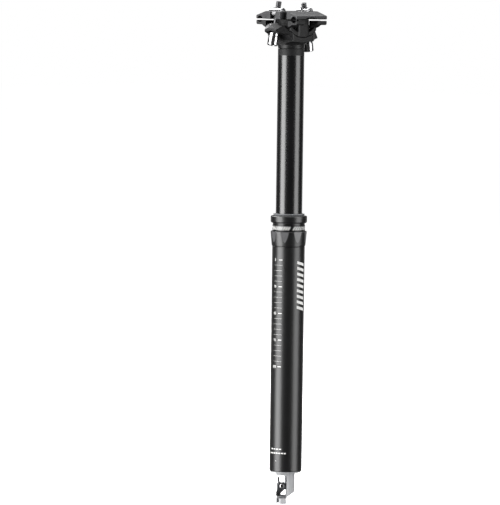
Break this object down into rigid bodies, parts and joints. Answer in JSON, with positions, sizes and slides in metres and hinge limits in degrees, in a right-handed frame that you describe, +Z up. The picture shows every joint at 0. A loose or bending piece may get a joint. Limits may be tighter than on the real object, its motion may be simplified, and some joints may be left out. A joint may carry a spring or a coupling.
{
  "type": "dropper seatpost",
  "caption": "Telescopic bicycle seatpost with a threaded collar, a two-bolt saddle-rail clamp that tilts, and a cable actuator at its foot.",
  "frame": {"origin": "on the post's axis at the underside of the collar nut, where the top of the frame's seat tube meets it", "axes": "+Z up along the post towards the saddle, +X to the front of the bicycle along the saddle rails, +Y to the rider's left"},
  "size_m": [0.0596, 0.0536, 0.4784],
  "materials": {
    "blasted_black": "bead-blasted, black anodised",
    "gloss_black": "polished, black hard anodised",
    "forged_black": "forged, satin black anodised",
    "satin_grey": "machined, satin dark anodised",
    "silver": "machined, clear anodised",
    "plated_steel": "turned and nickel plated",
    "steel": "ground",
    "rubber": "moulded, matt",
    "bushing": "moulded bearing polymer",
    "brass": "machined",
    "lever_grey": "hard anodised dark grey"
  },
  "bodies": {
    "lower_post": {"outer_tube": "blasted_black", "collar_nut": "blasted_black", "collar_band": "gloss_black", "collar_ring": "gloss_black", "wiper_seal": "rubber", "upper_bushing": "bushing", "top_out_ring": "rubber", "actuator_housing": "silver", "housing_ring": "silver", "cartridge_rod": "plated_steel", "rod_lock_nut": "plated_steel", "cartridge_piston": "brass", "piston_seal": "rubber", "lever_pivot_pin": "plated_steel"},
    "upper_post": {"stanchion_tube": "gloss_black", "clamp_head": "forged_black", "cartridge_cylinder": "steel", "cylinder_gland": "silver", "rod_seal": "rubber", "cartridge_nut": "plated_steel", "key_1": "brass", "key_2": "brass", "key_3": "brass", "lower_bushing": "bushing"},
    "cradle": {"lower_cradle": "forged_black"},
    "top_clamp": {"upper_clamp": "satin_grey"},
    "rear_bolt_group": {"rear_bolt": "plated_steel", "rear_washer": "plated_steel"},
    "front_bolt_group": {"front_bolt": "plated_steel", "front_washer": "plated_steel"},
    "rear_nut": {"rear_barrel_nut": "plated_steel"},
    "front_nut": {"front_barrel_nut": "plated_steel"},
    "lever": {"actuator_lever": "lever_grey"},
    "release": {"release_pin": "steel"},
    "cable_end": {"cable_barrel": "steel", "barrel_screw": "steel"}
  },
  "joints": [
    {"name": "post_drop", "type": "slide", "parent": "lower_post", "child": "upper_post", "axis": [0, 0, 1], "range_m": [-0.15, 0], "stiffness_N_per_m": 80, "springref_m": 0.5},
    {"name": "clamp_tilt", "type": "hinge", "parent": "upper_post", "child": "cradle", "pos_m": [0, 0, 0.225], "axis": [0, 1, 0], "range_deg": [-3, 16]},
    {"name": "clamp_open", "type": "slide", "parent": "cradle", "child": "top_clamp", "axis": [0, 0, 1], "range_m": [0, 0.0015]},
    {"name": "rear_bolt_swing", "type": "hinge", "parent": "upper_post", "child": "rear_bolt_group", "pos_m": [-0.02302, 0, 0.205], "axis": [0, 1, 0], "range_deg": [-5, 1]},
    {"name": "front_bolt_swing", "type": "hinge", "parent": "upper_post", "child": "front_bolt_group", "pos_m": [0.02155, 0, 0.199], "axis": [0, 1, 0], "range_deg": [-10.5, 2]},
    {"name": "rear_nut_turn", "type": "hinge", "parent": "top_clamp", "child": "rear_nut", "pos_m": [-0.01964, 0, 0.2212], "axis": [0, 1, 0], "range_deg": [-26, 5]},
    {"name": "front_nut_turn", "type": "hinge", "parent": "top_clamp", "child": "front_nut", "pos_m": [0.01793, 0, 0.2212], "axis": [0, 1, 0], "range_deg": [-31, 6]},
    {"name": "pin_lift", "type": "slide", "parent": "lower_post", "child": "release", "axis": [0, 0, 1], "range_m": [0, 0.0008], "stiffness_N_per_m": 100, "springref_m": -0.01},
    {"name": "lever_pivot", "type": "hinge", "parent": "lower_post", "child": "lever", "pos_m": [-0.00215, 0.00223, -0.2292], "axis": [-0.7193, -0.6947, 0], "range_deg": [0, 20]},
    {"name": "cable_barrel_turn", "type": "hinge", "parent": "lever", "child": "cable_end", "pos_m": [-0.00472, 0.00489, -0.2369], "axis": [-0.7193, -0.6947, 0], "range_deg": [-21, 1]}
  ],
  "couplings": [
    {"joint": "rear_bolt_swing", "follows": "clamp_tilt", "ratio": -0.22},
    {"joint": "front_bolt_swing", "follows": "clamp_tilt", "ratio": -0.48},
    {"joint": "rear_nut_turn", "follows": "clamp_tilt", "ratio": -1.22},
    {"joint": "front_nut_turn", "follows": "clamp_tilt", "ratio": -1.48},
    {"joint": "lever_pivot", "follows": "pin_lift", "rad_per_m": 436.33},
    {"joint": "cable_barrel_turn", "follows": "pin_lift", "rad_per_m": -436.33}
  ]
}
